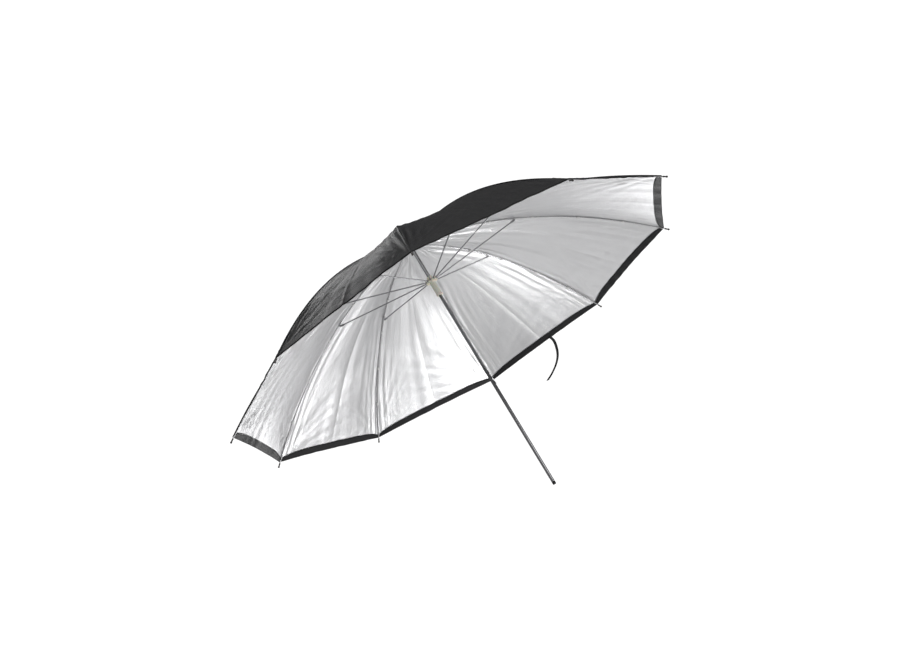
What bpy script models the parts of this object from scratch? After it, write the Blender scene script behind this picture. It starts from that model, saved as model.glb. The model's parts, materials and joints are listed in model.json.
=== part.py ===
"""Photographic umbrella reflector, open: a ten-rib umbrella frame with a reflective lined canopy.

Metres, +Z up. The shaft runs along Z with its lower end at the origin, and rib 01 points along +X.
"""

import math

import bmesh
import bpy
from mathutils import Matrix, Vector

# ---------------------------------------------------------------- driving dimensions
RIB_COUNT = 10
CANOPY_RADIUS = 0.500  # shaft axis to a corner of the cloth
RIM_HEIGHT = 0.3705  # shaft's lower end to the plane of the cloth's corners
CANOPY_RISE = 0.205  # that plane to the crown of the rib curve
CLOTH_THICKNESS = 0.0008
GAP = 0.0003  # between touching pieces

SHAFT_RADIUS = 0.0035
SHAFT_BORE = 0.0027
PLUG_HEIGHT = 0.006

RIB_RADIUS = 0.0011
PIVOT_RADIUS = 0.010  # shaft axis to the rib and stretcher pivots
CROWN_PIVOT_HEIGHT = 0.5735
EYE_RADIUS = 0.0018
EYE_HOLE = 0.0009
EYE_THICKNESS = 0.0012
PIVOT_WIRE_RADIUS = 0.0005

ELBOW_RADIUS = 0.225  # where the stretcher meets the rib
ELBOW_DROP = 0.0042  # rib centreline to the stretcher pin
PIN_RADIUS = 0.0007
FORK_LENGTH = 0.009

HUB_RADIUS = 0.0125
HUB_HALF_HEIGHT = 0.0035
SLOT_WIDTH = 0.0029
SLOT_START = 0.0076

RUNNER_BORE = SHAFT_RADIUS + 0.00035
RUNNER_RADIUS = 0.0060
RUNNER_LENGTH = 0.037  # hub pivots to the runner's lower end

CATCH_ANGLE = math.radians(-18)
CATCH_HEIGHT = 0.009
CATCH_THICKNESS = 0.0016
CATCH_OUT = 0.0049  # shaft axis to the catch's nose

TIP_REACH = 0.013  # cloth corner to the end of the rib tip
TIP_BALL = 0.0022

STRAP_WIDTH = 0.0065
STRAP_THICKNESS = 0.0012

# ---------------------------------------------------------------- worked-out places
STEP = math.tau / RIB_COUNT
SLOPE = 2 * CANOPY_RISE / CANOPY_RADIUS**2  # rib slope gained per metre of radius


def rib_height(r):
    """Height of the rib's centreline at radius r: a shallow parabola."""
    return RIM_HEIGHT + CANOPY_RISE * (1 - (r / CANOPY_RADIUS) ** 2)


def rib_normal(r):
    """Outward normal of the rib curve in its own upright plane."""
    return Vector((SLOPE * r, 0, 1)).normalized()


CROWN_PIVOT = Vector((PIVOT_RADIUS, 0, CROWN_PIVOT_HEIGHT))
ELBOW = Vector((ELBOW_RADIUS, 0, rib_height(ELBOW_RADIUS))) - rib_normal(ELBOW_RADIUS) * ELBOW_DROP
# rib and stretcher are equal arms, so the hub pivots lie as far below the elbow as the crown's lie above it
HUB_HEIGHT = 2 * ELBOW.z - CROWN_PIVOT.z
HUB_PIVOT = Vector((PIVOT_RADIUS, 0, HUB_HEIGHT))
RIB_END = Vector((CANOPY_RADIUS + 0.0025, 0, rib_height(CANOPY_RADIUS + 0.0025)))
RUNNER_END = HUB_HEIGHT - RUNNER_LENGTH
SHAFT_TOP = CROWN_PIVOT_HEIGHT + 0.013


# ---------------------------------------------------------------- helpers
def clear_scene():
    for obj in list(bpy.data.objects):
        bpy.data.objects.remove(obj, do_unlink=True)


def collection(name):
    group = bpy.data.collections.new(name)
    bpy.context.scene.collection.children.link(group)
    return group


def material(name, colour, roughness, metallic=0.0):
    mat = bpy.data.materials.new(name)
    mat.use_nodes = True
    shader = mat.node_tree.nodes["Principled BSDF"]
    shader.inputs["Base Color"].default_value = (*colour, 1)
    shader.inputs["Roughness"].default_value = roughness
    shader.inputs["Metallic"].default_value = metallic
    return mat


def final_mesh(obj):
    """The object's evaluated mesh in world space, welded, in a mesh of its own. The object is removed."""
    depsgraph = bpy.context.evaluated_depsgraph_get()
    mesh = bpy.data.meshes.new_from_object(obj.evaluated_get(depsgraph))
    mesh.transform(obj.matrix_world)
    bm = bmesh.new()
    bm.from_mesh(mesh)
    bmesh.ops.remove_doubles(bm, verts=bm.verts, dist=0.00001)
    bm.to_mesh(mesh)
    bm.free()
    bpy.data.objects.remove(obj, do_unlink=True)
    return mesh


def scratch(name, data):
    obj = bpy.data.objects.new(name, data)
    bpy.context.scene.collection.objects.link(obj)
    bpy.context.view_layer.update()
    return obj


def curve_mesh(name, splines, turn=None, **settings):
    """A mesh made from a curve of straight runs; each spline is (points, closed)."""
    curve = bpy.data.curves.new(name, "CURVE")
    for key, value in settings.items():
        setattr(curve, key, value)
    for points, closed in splines:
        spline = curve.splines.new("POLY")
        spline.points.add(len(points) - 1)
        for slot, point in zip(spline.points, points):
            slot.co = (*point, 1) if len(point) == 3 else (*point, 0, 1)
        spline.use_cyclic_u = closed
    obj = scratch(name, curve)
    if turn:
        obj.matrix_world = turn
    bpy.context.view_layer.update()
    return final_mesh(obj)


def wire_mesh(name, points, radius, closed=False, sides=8):
    return curve_mesh(
        name, [(points, closed)], dimensions="3D", bevel_depth=radius,
        bevel_resolution=max(0, sides // 2 - 2), use_fill_caps=not closed,
    )


def plate_mesh(name, outline, thickness, holes=(), at=(0, 0, 0)):
    """A flat plate standing in the XZ plane, its outline and holes given as (x, z) points."""
    stand = Matrix.Translation(at) @ Matrix.Rotation(math.pi / 2, 4, "X")
    splines = [(outline, True)] + [(hole, True) for hole in holes]
    return curve_mesh(name, splines, stand, dimensions="2D", fill_mode="BOTH", extrude=thickness / 2)


def circle(radius, count, centre=(0, 0)):
    turns = [math.tau * i / count for i in range(count)]
    return [(centre[0] + radius * math.cos(a), centre[1] + radius * math.sin(a)) for a in turns]


def turned_mesh(name, profile, steps=40, closed=False):
    """Turn a profile of (radius, height) points about Z. A closed profile makes a ring or tube."""
    mesh = bpy.data.meshes.new(name)
    edges = [(i, i + 1) for i in range(len(profile) - 1)]
    if closed:
        edges.append((len(profile) - 1, 0))
    mesh.from_pydata([(r, 0, z) for r, z in profile], edges, [])
    obj = scratch(name, mesh)
    screw = obj.modifiers.new("turn", "SCREW")
    screw.steps = screw.render_steps = steps
    screw.use_merge_vertices = True
    screw.merge_threshold = 0.00001
    return final_mesh(obj)


def box_mesh(name, size, matrix):
    bpy.ops.mesh.primitive_cube_add(size=1)
    obj = bpy.context.object
    obj.name = name
    obj.data.transform(matrix @ Matrix.Diagonal((*size, 1)))
    return final_mesh(obj)


def joined_mesh(name, base, others, operation):
    """One mesh from a base and the meshes united with it or cut from it."""
    obj = scratch(name, base)
    tools = []
    for i, other in enumerate(others):
        tool = scratch(f"{name}_tool_{i}", other)
        change = obj.modifiers.new(f"{operation} {i}", "BOOLEAN")
        change.operation = operation
        change.object = tool
        tools.append(tool)
    mesh = final_mesh(obj)
    for tool in tools:
        bpy.data.objects.remove(tool, do_unlink=True)
    return mesh


def place(name, mesh, mat, parent=None, at=(0, 0, 0), turn=0.0):
    """Add a named piece to the umbrella. The mesh may be shared with other pieces."""
    if not mesh.materials:
        mesh.materials.append(mat)
    obj = bpy.data.objects.new(name, mesh)
    umbrella.objects.link(obj)
    obj.matrix_world = Matrix.Translation(at) @ Matrix.Rotation(turn, 4, "Z")
    if parent:
        obj.parent = parent
        obj.matrix_parent_inverse = parent.matrix_world.inverted()
    return obj


def smooth(mesh, angle=40):
    mesh.shade_smooth()
    mesh.set_sharp_from_angle(angle=math.radians(angle))
    return mesh


def axis_empty(name, at, turn, parent=None):
    """An empty on a joint's axis, which the moving pieces hang from."""
    empty = bpy.data.objects.new(name, None)
    empty.empty_display_size = 0.01
    umbrella.objects.link(empty)
    empty.matrix_world = Matrix.Translation(at) @ Matrix.Rotation(turn, 4, "Z")
    if parent:
        empty.parent = parent
        empty.matrix_parent_inverse = parent.matrix_world.inverted()
    bpy.context.view_layer.update()
    return empty


# ---------------------------------------------------------------- root pieces
def radial_slots(name, low, high):
    """Ten slots that open outward, one for each rib's or stretcher's eye."""
    length = HUB_RADIUS + 0.002 - SLOT_START
    middle = Vector((SLOT_START + length / 2, 0, (low + high) / 2))
    size = (length, SLOT_WIDTH, high - low)
    return [
        box_mesh(f"{name}_{i}", size, Matrix.Rotation(i * STEP, 4, "Z") @ Matrix.Translation(middle))
        for i in range(RIB_COUNT)
    ]


def notched_hub_profile(bore, above, below_radius, below):
    """Half-section of a hub with a groove round its rim for the pivot wire, heights from the pivots."""
    groove = PIVOT_WIRE_RADIUS + GAP
    floor = PIVOT_RADIUS - groove
    return [
        (bore, above), (below_radius, above), (below_radius, HUB_HALF_HEIGHT),
        (HUB_RADIUS, HUB_HALF_HEIGHT), (HUB_RADIUS, groove), (floor, groove),
        (floor, -groove), (HUB_RADIUS, -groove), (HUB_RADIUS, -HUB_HALF_HEIGHT),
        (below_radius, -HUB_HALF_HEIGHT), (below_radius, below), (bore, below),
    ]


def make_shaft():
    profile = [(SHAFT_BORE, SHAFT_TOP), (SHAFT_RADIUS, SHAFT_TOP), (SHAFT_RADIUS, PLUG_HEIGHT),
               (SHAFT_BORE, PLUG_HEIGHT)]
    tube = turned_mesh("shaft tube", profile, steps=28, closed=True)
    slot_size = (SHAFT_RADIUS * 2, CATCH_THICKNESS + 2 * GAP, CATCH_HEIGHT + 2 * GAP)
    slot_middle = Vector((SHAFT_RADIUS, 0, RUNNER_END - GAP - CATCH_HEIGHT / 2))
    slot = box_mesh("slot", slot_size, Matrix.Rotation(CATCH_ANGLE, 4, "Z") @ Matrix.Translation(slot_middle))
    place("shaft", smooth(joined_mesh("shaft", tube, [slot], "DIFFERENCE")), DARK_METAL)


def make_plug():
    """A plug in the tube's lower end, with a flat face at z = 0."""
    edge = 0.0008
    profile = [(0, PLUG_HEIGHT + 0.008), (SHAFT_BORE - GAP, PLUG_HEIGHT + 0.008),
               (SHAFT_BORE - GAP, PLUG_HEIGHT - GAP), (SHAFT_RADIUS, PLUG_HEIGHT - GAP),
               (SHAFT_RADIUS, edge), (SHAFT_RADIUS - edge, 0), (0, 0)]
    place("shaft_end_plug", smooth(turned_mesh("shaft end plug", profile, steps=24)), BLACK_PLASTIC)


def make_crown():
    low, high = -HUB_HALF_HEIGHT - 0.001, HUB_HALF_HEIGHT + 0.001
    profile = notched_hub_profile(SHAFT_RADIUS + GAP, HUB_HALF_HEIGHT + 0.0001, 0.0078, -0.008)
    body = turned_mesh("crown body", profile, closed=True)
    slots = radial_slots("crown slot", low - 0.004, high)
    mesh = smooth(joined_mesh("crown", body, slots, "DIFFERENCE"))
    place("crown", mesh, BLACK_PLASTIC, at=(0, 0, CROWN_PIVOT_HEIGHT))

    ring = [(x, y, 0) for x, y in circle(PIVOT_RADIUS, 40)]
    place("crown_wire", smooth(wire_mesh("crown wire", ring, PIVOT_WIRE_RADIUS, closed=True, sides=6)),
          BRIGHT_METAL, at=(0, 0, CROWN_PIVOT_HEIGHT))


def make_top():
    """The cloth washer over the crown, and the cap that clamps it."""
    base = CROWN_PIVOT_HEIGHT + HUB_HALF_HEIGHT + 0.0002 + GAP
    inner, outer, drop = SHAFT_RADIUS + GAP, 0.019, 0.0010
    washer = [(inner, base + CLOTH_THICKNESS), (HUB_RADIUS, base + CLOTH_THICKNESS),
              (outer, base - drop + CLOTH_THICKNESS), (outer, base - drop), (HUB_RADIUS, base), (inner, base)]
    place("top_washer", smooth(turned_mesh("top washer", washer, closed=True)), BLACK_CLOTH)

    foot = base + CLOTH_THICKNESS + GAP
    top = SHAFT_TOP + GAP
    cap = [(0, top + 0.006), (0.0025, top + 0.0055), (0.0042, top + 0.004), (0.005, top + 0.001),
           (0.005, foot + 0.002), (0.0075, foot + 0.0015), (0.0075, foot),
           (SHAFT_RADIUS + GAP, foot), (SHAFT_RADIUS + GAP, top), (0, top)]
    place("top_cap", smooth(turned_mesh("top cap", cap, steps=28)), BLACK_PLASTIC)


# ---------------------------------------------------------------- runner and catch
def make_runner():
    slide = axis_empty("runner slide", (0, 0, HUB_HEIGHT), 0)
    neck_top, collar = 0.0095, 0.004
    profile = notched_hub_profile(RUNNER_BORE, neck_top, RUNNER_RADIUS, -RUNNER_LENGTH)
    # the lower collar replaces the plain barrel's last points
    flare = RUNNER_RADIUS + 0.0012
    profile[-2:] = [(RUNNER_RADIUS, -RUNNER_LENGTH + collar), (flare, -RUNNER_LENGTH + collar * 0.7),
                    (flare, -RUNNER_LENGTH), (RUNNER_BORE, -RUNNER_LENGTH)]
    body = turned_mesh("runner body", profile, closed=True)
    slots = radial_slots("runner slot", -HUB_HALF_HEIGHT - 0.001, HUB_HALF_HEIGHT + 0.001)
    key_depth = CATCH_OUT + GAP
    key_length = RUNNER_LENGTH + neck_top + 0.002
    key_middle = Vector((key_depth / 2, 0, (neck_top - RUNNER_LENGTH) / 2))
    key = box_mesh("keyway", (key_depth, CATCH_THICKNESS + 2 * GAP, key_length),
                   Matrix.Rotation(CATCH_ANGLE, 4, "Z") @ Matrix.Translation(key_middle))
    mesh = smooth(joined_mesh("runner", body, slots + [key], "DIFFERENCE"))
    place("runner", mesh, CREAM_PLASTIC, parent=slide, at=(0, 0, HUB_HEIGHT))


def make_catch():
    """A sprung blade in the shaft's slot, just under the runner, pushed in towards the axis."""
    press = axis_empty("catch press", (0, 0, RUNNER_END - GAP), CATCH_ANGLE)
    back, nose_drop = -0.0008, 0.0025
    outline = [(back, 0), (back, -CATCH_HEIGHT), (SHAFT_RADIUS - 0.0003, -CATCH_HEIGHT),
               (CATCH_OUT, -nose_drop), (CATCH_OUT, 0)]
    mesh = plate_mesh("catch", outline, CATCH_THICKNESS)
    place("spring_catch", mesh, DARK_METAL, parent=press, at=(0, 0, RUNNER_END - GAP), turn=CATCH_ANGLE)


# ---------------------------------------------------------------- ribs, tips, stretchers
def eye_mesh(name):
    return plate_mesh(name, circle(EYE_RADIUS, 14), EYE_THICKNESS, [circle(EYE_HOLE, 10)])


def make_rib_mesh():
    """One rib about its crown pivot: a curved wire, a flat eye and the tab that takes the stretcher."""
    knots = 15
    first = 0.035
    radii = [first + (RIB_END.x - first) * (i / (knots - 1)) for i in range(knots)]
    curve = [Vector((r, 0, rib_height(r))) - CROWN_PIVOT for r in radii]
    start = Vector((EYE_RADIUS - 0.0006, 0, 0.0001))
    wire = wire_mesh("rib wire", [start] + curve, RIB_RADIUS, sides=8)
    eye = eye_mesh("rib eye")
    elbow = ELBOW - CROWN_PIVOT
    along = Vector((1, 0, -SLOPE * ELBOW_RADIUS)).normalized()
    up = rib_normal(ELBOW_RADIUS)
    half, below = 0.0045, 0.0021
    corners = [(-half, ELBOW_DROP), (-below, -below * 0.5), (-below * 0.5, -below),
               (below * 0.5, -below), (below, -below * 0.5), (half, ELBOW_DROP)]
    outline = [elbow + along * a + up * b for a, b in corners]
    tab = plate_mesh("rib tab", [(p.x, p.z) for p in outline], EYE_THICKNESS,
                     [circle(PIN_RADIUS + GAP, 10, (elbow.x, elbow.z))])
    return smooth(joined_mesh("rib", wire, [eye, tab], "UNION"))


def make_tip_mesh():
    """A metal tip beyond the rib's end, ending in a ball, about the crown pivot."""
    along = Vector((1, 0, -SLOPE * CANOPY_RADIUS)).normalized()
    start = RIB_END - CROWN_PIVOT + along * GAP
    length = TIP_REACH - 0.0025 - TIP_BALL
    neck = 0.0013
    profile = [(0, length + TIP_BALL)]
    profile += [(TIP_BALL * math.sin(a), length + TIP_BALL * math.cos(a))
                for a in (math.radians(d) for d in (30, 60, 90, 120))]
    profile += [(neck, length - TIP_BALL), (neck + 0.0003, 0.0005), (neck + 0.0003, 0), (0, 0)]
    mesh = turned_mesh("rib tip", profile, steps=12)
    lean = Vector((0, 0, 1)).rotation_difference(along).to_matrix().to_4x4()
    mesh.transform(Matrix.Translation(start) @ lean)
    return smooth(mesh)


def make_stretcher_mesh():
    """One stretcher about its elbow pin: a wire from the hub eye to a fork with its pin."""
    reach = HUB_PIVOT - ELBOW
    along = reach.normalized()
    side = Vector((0, 1, 0))
    up = along.cross(side)
    ends = [along * (FORK_LENGTH - 0.001), reach - along * (EYE_RADIUS - 0.0006)]
    wire = wire_mesh("stretcher wire", ends, RIB_RADIUS, sides=8)
    eye = eye_mesh("stretcher eye")
    eye.transform(Matrix.Translation(reach))
    inner, cheek, half = EYE_THICKNESS / 2 + GAP, 0.0008, 0.0018
    frame = Matrix((along, side, up)).transposed().to_4x4()
    parts = [eye]
    for sign in (-1, 1):
        middle = Vector(((FORK_LENGTH - half) / 2, sign * (inner + cheek / 2), 0))
        size = (FORK_LENGTH + half, cheek, 2 * half)
        parts.append(box_mesh("cheek", size, frame @ Matrix.Translation(middle)))
    bridge = 0.003
    parts.append(box_mesh("bridge", (bridge, 2 * (inner + cheek * 0.5), 2 * half * 0.9),
                          frame @ Matrix.Translation((FORK_LENGTH - bridge / 2 - 0.0002, 0, 0))))
    pin_half = inner + cheek + 0.0004
    parts.append(plate_mesh("pin", circle(PIN_RADIUS, 10), 2 * pin_half))
    return smooth(joined_mesh("stretcher", wire, parts, "UNION"))


# ---------------------------------------------------------------- canopy
def cloth_point(radius, turn):
    """Underside of the cloth over a rib that is turned about Z."""
    middle = Vector((radius, 0, rib_height(radius)))
    lifted = middle + rib_normal(radius) * (RIB_RADIUS + GAP)
    return Matrix.Rotation(turn, 3, "Z") @ lifted


def make_half_panel_mesh(side):
    """Half a gore, from its rib to the gore's middle fold, about the crown pivot; side is +1 or -1."""
    inner_radius = 0.0200
    bpy.ops.mesh.primitive_grid_add(x_subdivisions=11, y_subdivisions=3, size=1)
    obj = bpy.context.object
    for vertex in obj.data.vertices:
        radius = inner_radius + (CANOPY_RADIUS - inner_radius) * (vertex.co.x + 0.5)
        share = 0.5 + side * vertex.co.y  # 0 at the rib, 1 at the middle fold
        here, next_rib = cloth_point(radius, 0), cloth_point(radius, side * STEP)
        inset = 0.6 * GAP / (next_rib - here).length
        across = inset + (0.5 - 2 * inset) * share
        vertex.co = here.lerp(next_rib, across) - CROWN_PIVOT
    shell = obj.modifiers.new("cloth", "SOLIDIFY")
    shell.thickness = CLOTH_THICKNESS
    shell.offset = 1
    return smooth(final_mesh(obj), 60)


def make_frame_and_canopy():
    rib, tip, stretcher = make_rib_mesh(), make_tip_mesh(), make_stretcher_mesh()
    halves = {"left": make_half_panel_mesh(-1), "right": make_half_panel_mesh(1)}
    for i in range(RIB_COUNT):
        turn = i * STEP
        spin = Matrix.Rotation(turn, 3, "Z")
        crown, elbow = spin @ CROWN_PIVOT, spin @ ELBOW
        number = f"{i + 1:02d}"
        hinge = axis_empty(f"rib hinge {number}", crown, turn)
        place(f"rib_{number}", rib, FRAME_METAL, hinge, crown, turn)
        place(f"rib_tip_{number}", tip, DARK_METAL, hinge, crown, turn)
        pin = axis_empty(f"stretcher pin {number}", elbow, turn, hinge)
        place(f"stretcher_{number}", stretcher, FRAME_METAL, pin, elbow, turn)
        for name, half in halves.items():
            fold = axis_empty(f"fold line {number} {name}", crown, turn, hinge)
            place(f"canopy_{number}_{name}", half, BLACK_CLOTH, fold, crown, turn)


# ---------------------------------------------------------------- tie strap
STRAP_RIB = 4  # it is sewn to the half gore on the +turn side of this rib, counted from 0
STRAP_SHARE = 0.434  # way along the hem from that rib to the next
# its centreline from the hem, as it hangs
STRAP_ROUTE = [(0, 0, -0.0008), (0.0010, 0.0010, -0.012), (0.0000, -0.0035, -0.0315),
               (-0.0005, -0.0115, -0.047), (0.0005, -0.0250, -0.0615), (0.0030, -0.0430, -0.0745),
               (0.0045, -0.0600, -0.0835)]


def smooth_route(points, steps):
    """Points read from a smooth curve through the route's own points."""
    ends = [Vector(points[0]) * 2 - Vector(points[1])] + [Vector(p) for p in points]
    ends.append(ends[-1] * 2 - ends[-2])
    out = []
    for a, b, c, d in zip(ends, ends[1:], ends[2:], ends[3:]):
        for k in range(steps):
            t = k / steps
            out.append(0.5 * (2 * b + (c - a) * t + (2 * a - 5 * b + 4 * c - d) * t**2
                              + (3 * b - a - 3 * c + d) * t**3))
    return out + [ends[-2]]


def make_strap():
    corner = Vector((CANOPY_RADIUS, 0, RIM_HEIGHT))
    start = Matrix.Rotation(STRAP_RIB * STEP, 3, "Z") @ corner
    end = Matrix.Rotation((STRAP_RIB + 1) * STEP, 3, "Z") @ corner
    hem = start.lerp(end, STRAP_SHARE)
    along_hem = (end - start).normalized()
    centre = [hem + p for p in smooth_route(STRAP_ROUTE, 3)]
    strip = bmesh.new()
    pairs = []
    for i, point in enumerate(centre):
        # the strap turns slowly as it hangs
        turn = Matrix.Rotation(math.radians(50) * i / (len(centre) - 1), 3, "Z")
        half = turn @ along_hem * (STRAP_WIDTH / 2)
        pairs.append((strip.verts.new(point - half), strip.verts.new(point + half)))
    for (a, b), (c, d) in zip(pairs, pairs[1:]):
        strip.faces.new((a, b, d, c))
    mesh = bpy.data.meshes.new("strap strip")
    strip.to_mesh(mesh)
    strip.free()
    obj = scratch("strap strip", mesh)
    shell = obj.modifiers.new("webbing", "SOLIDIFY")
    shell.thickness = STRAP_THICKNESS
    shell.offset = 0
    place("tie_strap", smooth(final_mesh(obj), 60), BLACK_CLOTH)


# ---------------------------------------------------------------- the umbrella
clear_scene()
umbrella = collection("umbrella_reflector")
DARK_METAL = material("dark metal", (0.16, 0.16, 0.17), 0.3, 1.0)
FRAME_METAL = material("grey steel wire", (0.36, 0.36, 0.37), 0.3, 1.0)
BRIGHT_METAL = material("bright metal", (0.6, 0.6, 0.6), 0.3, 1.0)
BLACK_PLASTIC = material("black plastic", (0.02, 0.02, 0.02), 0.45)
CREAM_PLASTIC = material("cream plastic", (0.62, 0.58, 0.47), 0.4)
BLACK_CLOTH = material("black cloth", (0.012, 0.012, 0.013), 0.8)

make_shaft()
make_plug()
make_crown()
make_top()
make_runner()
make_catch()
make_frame_and_canopy()
make_strap()
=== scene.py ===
"""Looks of the umbrella reflector: cloth, frame, fittings and a plain studio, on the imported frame."""

import json
import math

import bmesh
import bpy
from mathutils import Matrix, Vector, noise


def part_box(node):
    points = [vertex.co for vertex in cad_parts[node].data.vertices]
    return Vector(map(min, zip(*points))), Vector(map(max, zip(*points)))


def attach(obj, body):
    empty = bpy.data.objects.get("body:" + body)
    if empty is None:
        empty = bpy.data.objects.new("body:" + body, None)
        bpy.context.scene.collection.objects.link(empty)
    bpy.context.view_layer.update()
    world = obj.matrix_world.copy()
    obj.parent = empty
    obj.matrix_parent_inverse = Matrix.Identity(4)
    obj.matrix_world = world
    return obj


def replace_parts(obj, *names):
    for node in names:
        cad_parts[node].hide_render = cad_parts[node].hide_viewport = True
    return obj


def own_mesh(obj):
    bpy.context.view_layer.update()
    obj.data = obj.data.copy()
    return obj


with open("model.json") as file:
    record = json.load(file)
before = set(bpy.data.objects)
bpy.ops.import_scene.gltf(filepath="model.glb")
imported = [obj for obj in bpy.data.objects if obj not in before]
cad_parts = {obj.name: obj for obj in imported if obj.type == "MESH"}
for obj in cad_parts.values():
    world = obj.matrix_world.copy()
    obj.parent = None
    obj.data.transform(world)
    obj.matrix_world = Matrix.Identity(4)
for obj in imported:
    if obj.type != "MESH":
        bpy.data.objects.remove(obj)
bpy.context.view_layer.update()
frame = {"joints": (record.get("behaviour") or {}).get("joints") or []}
joints = {joint["name"]: joint for joint in frame["joints"]}

# ---------------------------------------------------------------- places, from the frame
RIB_COUNT = 10
STEP = math.tau / RIB_COUNT
CANOPY_RADIUS = 0.500  # shaft axis to a corner of the cloth
RIM_HEIGHT = 0.3705
CANOPY_RISE = 0.205
SLOPE = 2 * CANOPY_RISE / CANOPY_RADIUS**2  # rib slope gained per metre of radius
RIB_RADIUS = 0.0011
LIFT = RIB_RADIUS + 0.0003  # rib's centreline to the underside of the cloth
CLOTH = 0.0004

CROWN = Vector(joints["rib_hinge_01"]["pos_m"])
ELBOW = Vector(joints["stretcher_hinge_01"]["pos_m"])
HUB = Vector((CROWN.x, 0, 2 * ELBOW.z - CROWN.z))
SHAFT_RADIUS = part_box("shaft")[1].x
RUNNER_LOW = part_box("runner")[0].z


def spin(index):
    return Matrix.Rotation(index * STEP, 3, "Z")


def rib_height(radius):
    return RIM_HEIGHT + CANOPY_RISE * (1 - (radius / CANOPY_RADIUS) ** 2)


def rib_normal(radius):
    return Vector((SLOPE * radius, 0, 1)).normalized()


def number(index):
    return f"{index % RIB_COUNT + 1:02d}"


# ---------------------------------------------------------------- materials
class Amount:
    """A number socket of a material. Maths on it adds the Math nodes."""

    def __init__(self, finish, socket):
        self.finish, self.socket = finish, socket

    def maths(self, operation, *values):
        return self.finish.node("ShaderNodeMath", {"operation": operation}, dict(enumerate(values)))

    def __add__(self, other):
        return self.maths("ADD", self, other)

    def __sub__(self, other):
        return self.maths("SUBTRACT", self, other)

    def __rsub__(self, other):
        return self.maths("SUBTRACT", other, self)

    def __mul__(self, other):
        return self.maths("MULTIPLY", self, other)

    __radd__, __rmul__ = __add__, __mul__

    def size(self):
        return self.maths("ABSOLUTE", self)

    def clamped(self):
        return self.maths("MINIMUM", self.maths("MAXIMUM", self, 0.0), 1.0)

    def wave(self):
        """From 0 to 1 and back for each 2 pi."""
        return self.maths("SINE", self) * 0.5 + 0.5


class Finish:
    """One material, made of nodes round a Principled BSDF."""

    def __init__(self, name, **settings):
        self.material = bpy.data.materials.new(name)
        self.material.use_nodes = True
        self.tree = self.material.node_tree
        self.shader = self.tree.nodes["Principled BSDF"]
        for key, value in settings.items():
            self.shader.inputs[key.replace("_", " ")].default_value = value

    def node(self, kind, settings=None, inputs=None, output=0):
        """Adds a node with its settings and its sockets' values or links, and gives one of its outputs."""
        made = self.tree.nodes.new(kind)
        for key, value in (settings or {}).items():
            setattr(made, key, value)
        for key, value in (inputs or {}).items():
            self.feed(made.inputs[key], value)
        return Amount(self, made.outputs[output])

    def feed(self, socket, value):
        if isinstance(value, Amount):
            self.tree.links.new(value.socket, socket)
        else:
            socket.default_value = value

    def paint(self, **inputs):
        for key, value in inputs.items():
            self.feed(self.shader.inputs[key.replace("_", " ")], value)
        return self

    def place(self, source="UV"):
        return self.node("ShaderNodeTexCoord", output=source)

    def stretched(self, vector, scale):
        return self.node("ShaderNodeMapping", inputs={"Vector": vector, "Scale": scale})

    def clouds(self, vector, scale, detail=3.0, roughness=0.5):
        return self.node("ShaderNodeTexNoise", inputs={
            "Vector": vector, "Scale": scale, "Detail": detail, "Roughness": roughness})

    def mixed(self, share, one, two):
        """A colour between two colours."""
        ends = {0: share, 6: (*one, 1), 7: (*two, 1)}
        return self.node("ShaderNodeMix", {"data_type": "RGBA"}, ends, output=2)

    def bump(self, height, distance, strength=1.0):
        return self.paint(Normal=self.node("ShaderNodeBump", inputs={
            "Height": height, "Distance": distance, "Strength": strength}))

    def across(self, vector, part=0):
        """One of the numbers that make up a place."""
        return self.node("ShaderNodeSeparateXYZ", inputs={"Vector": vector}, output=part)

    def weave(self, vector, pitch):
        """Plain weave: threads over and under each other, pitch metres apart."""
        across, along = self.across(vector), self.across(vector, 1)
        turns = math.tau / pitch
        over = (across * turns).wave() * (along * (turns / 2)).wave()
        return over + (along * turns).wave() * (across * (turns / 2)).wave()


def make_lining():
    """Silver coated cloth: metallic, creased beside its seams, with a fine weave."""
    finish = Finish("silver lining")
    place = finish.place()
    from_rib = finish.across(place)
    cloudy = finish.clouds(place, 14, 4)
    fine = finish.clouds(finish.stretched(place, (1.0, 0.30, 1.0)), 60, 5, 0.6)
    broad = finish.clouds(finish.stretched(place, (1.0, 0.18, 1.0)), 24, 3)
    drawn = finish.clouds(finish.stretched(place, (1.0, 0.05, 1.0)), 130, 3)
    # creases are the ridges where the noise crosses its middle value
    crease = (1 - (fine - 0.5).size() * 6).clamped()
    near_rib = (1 - from_rib * 18).clamped()
    height = crease * 0.09 + broad * 0.55 + drawn * near_rib * 1.8 + finish.weave(place, 0.0006) * 0.04
    finish.paint(Base_Color=finish.mixed(cloudy, (0.68, 0.68, 0.69), (0.80, 0.80, 0.805)),
                 Roughness=0.27 + cloudy * 0.12, Metallic=0.86)
    return finish.bump(height, 0.0018, 0.6).material


def make_outer_cloth(name, dark, light):
    """Black nylon: tightly woven, with a dull shine."""
    finish = Finish(name, Specular_IOR_Level=0.2, Sheen_Weight=0.03, Sheen_Roughness=0.4)
    place = finish.place()
    cloudy = finish.clouds(place, 9, 4)
    soft = finish.clouds(finish.stretched(place, (1.0, 0.3, 1.0)), 26, 4)
    height = soft + finish.weave(place, 0.0005) * 0.08
    finish.paint(Base_Color=finish.mixed(cloudy, dark, light), Roughness=0.40 + cloudy * 0.14)
    return finish.bump(height, 0.0012, 0.5).material


def make_webbing():
    """Black strap webbing with ribs across it."""
    finish = Finish("black webbing", Sheen_Weight=0.3)
    place = finish.place()
    cloudy = finish.clouds(place, 60, 3)
    finish.paint(Base_Color=finish.mixed(cloudy, (0.012, 0.012, 0.012), (0.026, 0.026, 0.027)),
                 Roughness=0.75)
    return finish.bump(finish.weave(place, 0.0014), 0.0002, 0.8).material


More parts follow.
